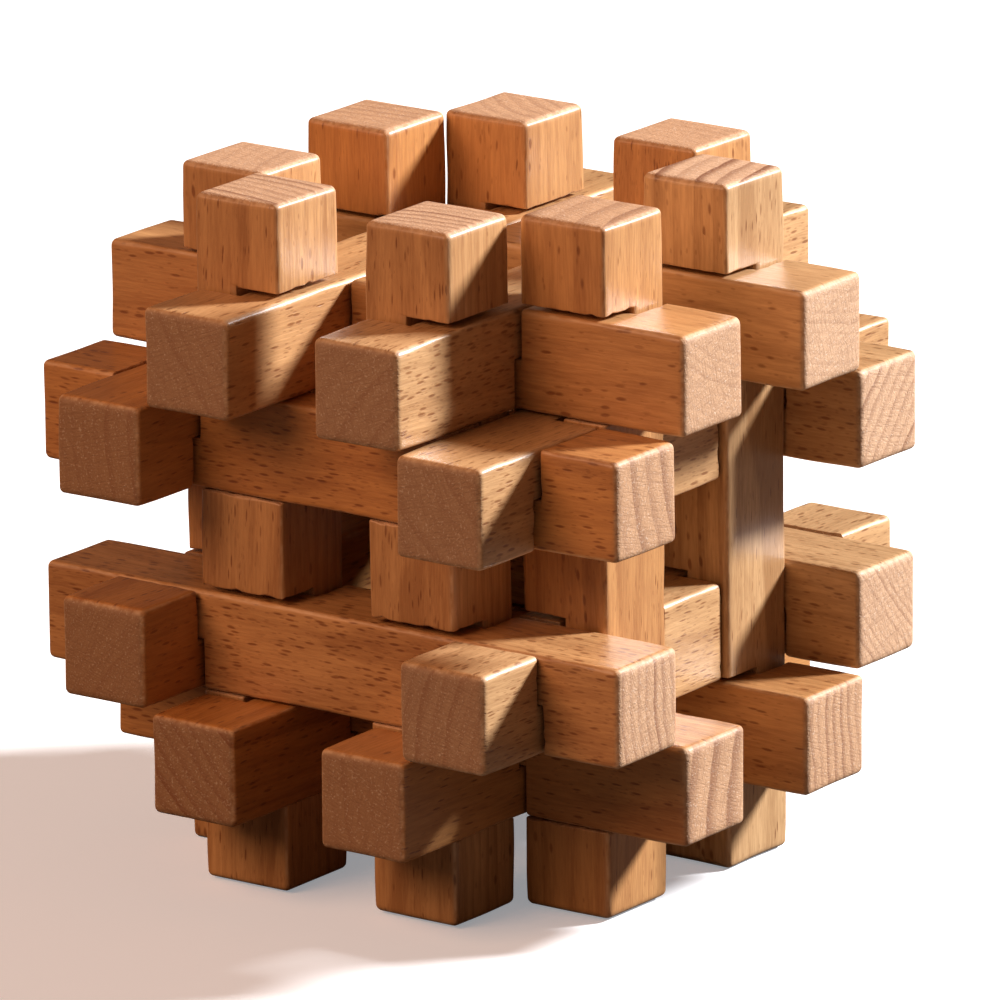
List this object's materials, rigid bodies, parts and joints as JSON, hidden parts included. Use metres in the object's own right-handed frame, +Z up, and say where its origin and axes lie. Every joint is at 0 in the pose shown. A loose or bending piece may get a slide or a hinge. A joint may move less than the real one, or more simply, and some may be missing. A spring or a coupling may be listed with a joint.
{
  "type": "wooden burr puzzle",
  "caption": "Open cage of interlocking half-lapped wooden sticks; one half slides against the other to unlock the take-apart puzzle.",
  "frame": {"origin": "centre of the base, in the plane of the bottom ends of the eight uprights that it stands on", "axes": "+Z up along the uprights, +X along the crossbars in the direction that the sliding half opens, +Y along the rails to the back"},
  "size_m": [0.1048, 0.1038, 0.1038],
  "materials": {
    "beech_pale": "satin clear coat",
    "beech_warm": "satin clear coat",
    "beech_deep": "satin clear coat"
  },
  "bodies": {
    "fixed_half": {"upright_front_left": "beech_warm", "upright_front_right": "beech_pale", "upright_back_left": "beech_warm", "upright_back_right": "beech_pale", "crossbar_front_upper": "beech_warm", "crossbar_front_lower": "beech_deep", "crossbar_back_upper": "beech_pale", "crossbar_back_lower": "beech_warm", "rail_left_upper": "beech_pale", "rail_left_lower": "beech_warm", "rail_right_upper": "beech_warm", "rail_right_lower": "beech_pale"},
    "sliding_half": {"upright_left_front": "beech_deep", "upright_left_back": "beech_warm", "upright_right_front": "beech_warm", "upright_right_back": "beech_pale", "crossbar_top_front": "beech_pale", "crossbar_top_back": "beech_warm", "crossbar_bottom_front": "beech_warm", "crossbar_bottom_back": "beech_deep", "rail_top_left": "beech_deep", "rail_top_right": "beech_warm", "rail_bottom_left": "beech_pale", "rail_bottom_right": "beech_warm"}
  },
  "joints": [
    {"name": "halves_slide", "type": "slide", "parent": "fixed_half", "child": "sliding_half", "axis": [1, 0, 0], "range_m": [-0.001, 0.0142]}
  ]
}
